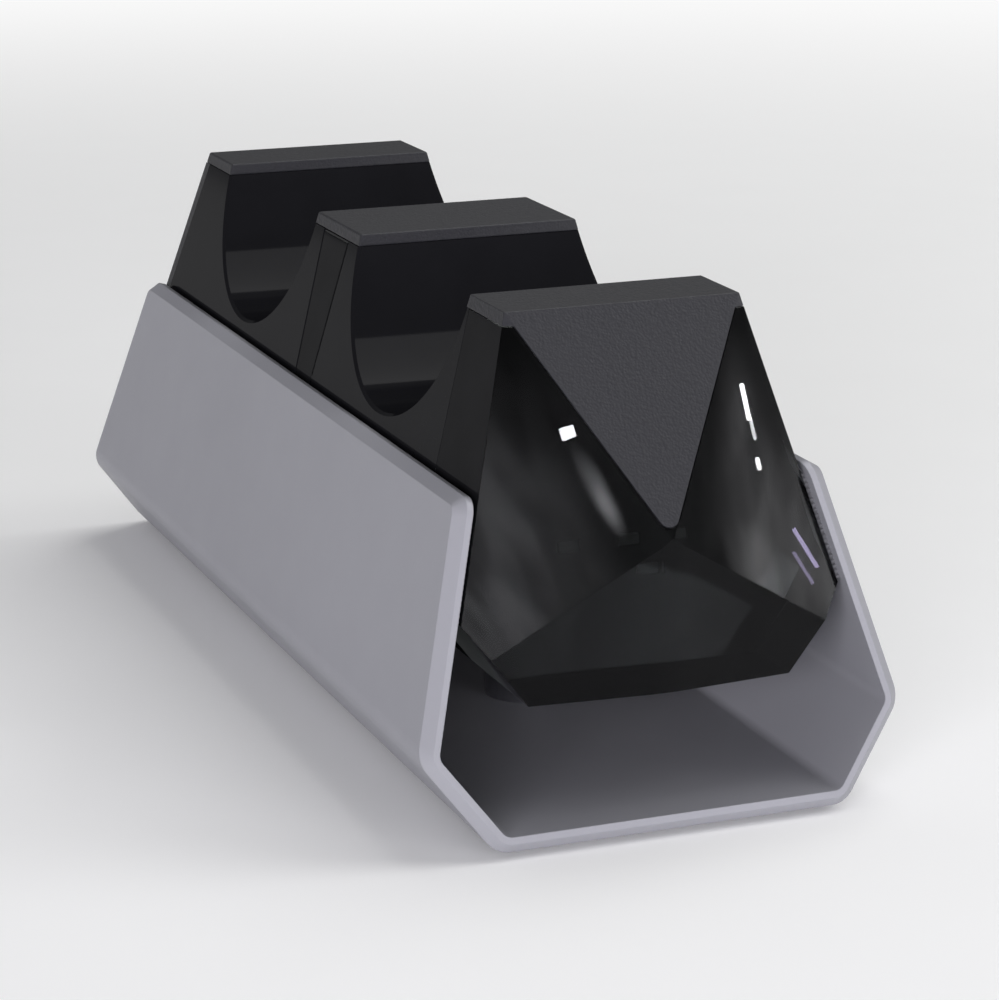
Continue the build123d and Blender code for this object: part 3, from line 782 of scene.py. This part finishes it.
def turned_mesh(name, profile, segments):
    """Mesh made by turning a half section about the Z axis."""
    mesh = bpy.data.meshes.new(name)
    shape = bmesh.new()
    verts = [shape.verts.new((x, 0.0, z)) for x, z in profile]
    edges = [shape.edges.new(pair) for pair in zip(verts, verts[1:])]
    bmesh.ops.spin(
        shape,
        geom=verts + edges,
        axis=(0.0, 0.0, 1.0),
        cent=(0.0, 0.0, 0.0),
        steps=segments,
        angle=2 * math.pi,
        use_merge=True,
    )
    bmesh.ops.remove_doubles(shape, verts=shape.verts, dist=WELD_DISTANCE)
    bmesh.ops.recalc_face_normals(shape, faces=shape.faces)
    shape.to_mesh(mesh)
    shape.free()
    return mesh


def corner_tree(unit, material):
    """Node tree that puts one unit at each corner of a rectangle."""
    corners = CopiesTree("corner_feet", ["Spacing X", "Spacing Y"], unit, material)
    grid = corners.add("GeometryNodeMeshGrid", {"Vertices X": 2, "Vertices Y": 2})
    corners.link(corners.entry, "Spacing X", grid, "Size X")
    corners.link(corners.entry, "Spacing Y", grid, "Size Y")
    corners.link(grid, "Mesh", corners.copies, "Points")
    return corners


class DOCK_OT_feet(bpy.types.Operator):
    """Turns the four rubber feet with rings in their undersides"""

    bl_idname = "dock.feet"
    bl_label = "Feet"

    def execute(self, context):
        settings = context.scene.dock_foot
        low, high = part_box("feet")
        radius = foot_radius()
        profile = foot_profile(settings, radius, high.z - low.z)
        foot = turned_mesh("foot_unit", profile, settings.segments)
        unit = bpy.data.objects.new("foot_unit", foot)
        corners = corner_tree(unit, foot_rubber())
        spacing = {
            "Spacing X": high.x - low.x - 2 * radius,
            "Spacing Y": high.y - low.y - 2 * radius,
        }
        piece = corners.run("turned_feet", bpy.data.meshes.new("foot_base"), spacing)
        bpy.data.objects.remove(unit)
        piece.data.shade_smooth()
        piece.data.set_sharp_from_angle(angle=SMOOTH_ANGLE)
        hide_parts("feet")
        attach(piece, ROOT)
        return {"FINISHED"}


# Studio

DOCK_MIDDLE = Vector((0.0, 0.0, 0.03))
WHITE = (1.0, 1.0, 1.0)
PALE_BLUE = (0.97, 0.98, 1.0)
LILAC = (0.955, 0.94, 1.0)
VIOLET = (0.72, 0.62, 1.0)

# Half the floor's side, and the share of its reach inside which it keeps its own colour
FLOOR_HALF_SIZE = 6.0
PLAIN_SHARE = 0.15

# A card's glow between its streaks, as a share of its strength
DIM_SHARE = 0.3

# Values of the noise at which a streak starts and is full
STREAK_START = 0.38
STREAK_FULL = 0.68

# Share of the way from a card's middle to its border at which the glow starts to fade
FADE_START = 0.10

# A lamp has a place, two side lengths, a turn about its own beam in degrees, and a colour.
# One that isn't mirrored lights the dock without showing in the facets.
Lamp = namedtuple("Lamp", "place size turn color mirrored", defaults=(0.0, WHITE, True))

# A card has a place, half its width and height, a turn like a lamp's, and the strength of its glow.
Card = namedtuple("Card", "place half_width half_height turn strength")

LARGE_LAMPS = {
    "overhead": Lamp((0.5, 0.2, 1.15), (0.9, 0.9)),
    "key": Lamp((1.0, -0.3, 0.8), (0.6, 0.6)),
    "front": Lamp((0.5, -1.35, 0.25), (0.9, 0.46), color=LILAC, mirrored=False),
    "fill": Lamp((-0.80, -1.20, 0.25), (0.9, 0.46), color=LILAC, mirrored=False),
}

# Small lamps that the front facets mirror as a window and slivers, each with its power in watts
SMALL_LAMPS = {
    "left_window": (Lamp((-0.323, -1.028, 0.528), (0.007, 0.006), 15.0), 0.014),
    "upper_sliver": (Lamp((1.033, -0.507, 0.334), (0.002, 0.018), -14.0), 0.013),
    "middle_sliver": (Lamp((1.035, -0.511, 0.321), (0.0015, 0.010), -14.0), 0.0018),
    "lower_sliver": (Lamp((1.038, -0.518, 0.306), (0.002, 0.006), -14.0), 0.0030),
    "violet_sliver": (Lamp((1.0468, -0.5202, 0.2602), (0.002, 0.022), 5.0, VIOLET), 0.0028),
    "faint_sliver": (Lamp((1.0429, -0.5243, 0.2516), (0.0015, 0.018), 5.0, VIOLET), 0.0009),
}

# Dim cards that the front facets mirror as soft streaks
CARDS = {
    "left_card": Card((-0.406, -1.150, 0.517), 0.075, 0.150, -27.0, 4.5),
    "crescent_card": Card((-0.330, -1.095, 0.528), 0.007, 0.030, -27.0, 17.0),
    "right_card": Card((1.176, -0.542, 0.292), 0.056, 0.160, 27.0, 4.0),
    "faint_card": Card((1.155, -0.585, 0.310), 0.020, 0.110, 20.0, 4.0),
    "left_veil": Card((-0.375, -1.150, 0.540), 0.16, 0.20, -27.0, 0.7),
    "right_veil": Card((1.155, -0.560, 0.310), 0.16, 0.20, 22.0, 0.6),
}


def flat_sheet(name, half_width, half_height, material):
    """Flat rectangle that belongs to the studio, with its material."""
    mesh = bpy.data.meshes.new(name)
    shape = bmesh.new()
    stretch = Matrix.Diagonal((half_width, half_height, 1.0, 1.0))
    bmesh.ops.create_grid(shape, x_segments=1, y_segments=1, size=1.0, matrix=stretch)
    shape.to_mesh(mesh)
    shape.free()
    mesh.materials.append(material)
    sheet = bpy.data.objects.new(name, mesh)
    bpy.context.collection.objects.link(sheet)
    return sheet


def pale_floor(settings):
    """Floor: pale and matt by the dock, and plain white farther out to the camera, in mirrors and
    through clear pieces."""
    surface = Surface("pale_floor", Roughness=0.7)
    speck = surface.noise(width=30 * MM, detail=3.0)
    surface.paint(speck, shade(settings.floor_color, 0.99), shade(settings.floor_color, 1.01))
    far = settings.floor_reach
    near = far * PLAIN_SHARE
    away = surface.spread(surface.length_of(surface.place), 0.0, 1.0, near, far, curve="SMOOTHERSTEP")
    rays = surface.add("ShaderNodeLightPath").outputs
    seen = surface.calculate("MAXIMUM", rays["Is Camera Ray"], rays["Is Glossy Ray"])
    seen = surface.calculate("MAXIMUM", seen, rays["Is Transmission Ray"])
    white = surface.add("ShaderNodeEmission").outputs["Emission"]
    mixed = surface.show_joined("ShaderNodeMixShader", surface.shader.outputs["BSDF"], white)
    surface.feed(mixed, "Fac", surface.calculate("MULTIPLY", away, seen))
    return surface.material


def room_light(settings):
    """Even pale light from all round."""
    world = bpy.data.worlds.new("room")
    bpy.context.scene.world = world
    world.use_nodes = True
    background = world.node_tree.nodes["Background"]
    background.inputs["Color"].default_value = (*PALE_BLUE, 1.0)
    background.inputs["Strength"].default_value = settings.room_strength


def facing_dock(place, axis, turn):
    """Rotation that points an axis from a place to the dock, then turns by degrees about that beam."""
    beam = (DOCK_MIDDLE - Vector(place)).to_track_quat(axis, "Y")
    return (beam @ Quaternion((0.0, 0.0, 1.0), math.radians(turn))).to_euler()


def soft_lamp(name, plan, power):
    """Rectangular lamp that follows a plan and faces the dock."""
    light = bpy.data.lights.new(name, "AREA")
    light.shape = "RECTANGLE"
    light.size, light.size_y = plan.size
    light.energy = power
    light.color = plan.color
    lamp = bpy.data.objects.new(name, light)
    lamp.location = plan.place
    lamp.rotation_euler = facing_dock(plan.place, "-Z", plan.turn)
    lamp.visible_glossy = plan.mirrored
    bpy.context.collection.objects.link(lamp)


def soft_streaks(card):
    """Glow of a card: soft upright streaks that fade out towards the card's border."""
    surface = Surface("soft_streaks")
    streak = surface.noise(width=22 * MM, detail=2.5, stretch=(1.0, 0.3, 1.0))
    lit = surface.spread(
        streak,
        low=card.strength * DIM_SHARE,
        high=card.strength,
        first=STREAK_START,
        last=STREAK_FULL,
        curve="SMOOTHSTEP",
    )
    share = surface.add("ShaderNodeVectorMath", operation="DIVIDE")
    surface.feed(share, 0, surface.place)
    surface.feed(share, 1, (card.half_width, card.half_height, 1.0))
    away = surface.length_of(share.outputs["Vector"])
    fade = surface.spread(away, low=1.0, high=0.0, first=FADE_START, curve="SMOOTHSTEP")
    glow = surface.add("ShaderNodeEmission")
    surface.feed(glow, "Strength", surface.calculate("MULTIPLY", lit, fade))
    clear = surface.add("ShaderNodeBsdfTransparent").outputs["BSDF"]
    surface.show_joined("ShaderNodeAddShader", glow.outputs["Emission"], clear)
    return surface.material


def mirror_card(name, card):
    """Streaked card that is only seen mirrored in the facets."""
    sheet = flat_sheet(name, card.half_width, card.half_height, soft_streaks(card))
    sheet.location = card.place
    sheet.rotation_euler = facing_dock(card.place, "Z", card.turn)
    sheet.visible_camera = False
    sheet.visible_diffuse = False
    sheet.visible_transmission = False
    sheet.visible_shadow = False


def photo_camera(settings):
    """Camera at the photograph's viewing angle, turned to the dock."""
    data = bpy.data.cameras.new("camera")
    data.lens = settings.focal_length
    data.sensor_width = 36.0
    data.clip_start = 10 * MM
    camera = bpy.data.objects.new("camera", data)
    eye = Vector(settings.eye)
    camera.location = eye
    camera.rotation_euler = (Vector(settings.target) - eye).to_track_quat("-Z", "Y").to_euler()
    bpy.context.collection.objects.link(camera)
    bpy.context.scene.camera = camera


class DOCK_OT_studio(bpy.types.Operator):
    """Sets up the floor, the lamps and the camera"""

    bl_idname = "dock.studio"
    bl_label = "Studio"

    def execute(self, context):
        settings = context.scene.dock_stage
        flat_sheet("floor", FLOOR_HALF_SIZE, FLOOR_HALF_SIZE, pale_floor(settings))
        room_light(settings)
        for name, plan in LARGE_LAMPS.items():
            soft_lamp(name + "_lamp", plan, getattr(settings, name + "_power"))
        for name, card in CARDS.items():
            mirror_card(name, card)
        for name, (plan, power) in SMALL_LAMPS.items():
            soft_lamp(name, plan, power)
        photo_camera(settings)
        context.scene.view_settings.view_transform = "Standard"
        return {"FINISHED"}


# Each group of settings by its name in the scene, with the operators that use it
GROUPS = {
    "dock_finish": (DockFinishSettings, (DOCK_OT_finishes,)),
    "dock_edge": (DockEdgeSettings, (DOCK_OT_caps, DOCK_OT_blocks)),
    "dock_pad": (DockPadSettings, (DOCK_OT_pads,)),
    "dock_foot": (DockFootSettings, (DOCK_OT_feet,)),
    "dock_stage": (DockStageSettings, (DOCK_OT_studio,)),
}


class DOCK_PT_panel(bpy.types.Panel):
    """Settings and operators of the charging dock"""

    bl_idname = "DOCK_PT_panel"
    bl_label = "Charging dock"
    bl_space_type = "VIEW_3D"
    bl_region_type = "UI"
    bl_category = "Dock"

    def draw(self, context):
        for group, (settings, operators) in GROUPS.items():
            column = self.layout.column(align=True)
            for name in settings.__annotations__:
                column.prop(getattr(context.scene, group), name)
            for operator in operators:
                column.operator(operator.bl_idname)


def register():
    """Adds the settings, operators and panel to Blender."""
    for group, (settings, operators) in GROUPS.items():
        bpy.utils.register_class(settings)
        setattr(bpy.types.Scene, group, PointerProperty(type=settings))
        for operator in operators:
            bpy.utils.register_class(operator)
    bpy.utils.register_class(DOCK_PT_panel)


def unregister():
    """Takes the settings, operators and panel out of Blender again."""
    bpy.utils.unregister_class(DOCK_PT_panel)
    for group, (settings, operators) in reversed(GROUPS.items()):
        for operator in reversed(operators):
            bpy.utils.unregister_class(operator)
        delattr(bpy.types.Scene, group)
        bpy.utils.unregister_class(settings)


def main():
    """Builds the whole scene."""
    register()
    bpy.ops.dock.finishes()
    bpy.ops.dock.caps()
    bpy.ops.dock.blocks()
    bpy.ops.dock.pads()
    bpy.ops.dock.feet()
    bpy.ops.dock.studio()


if __name__ == "__main__":
    main()
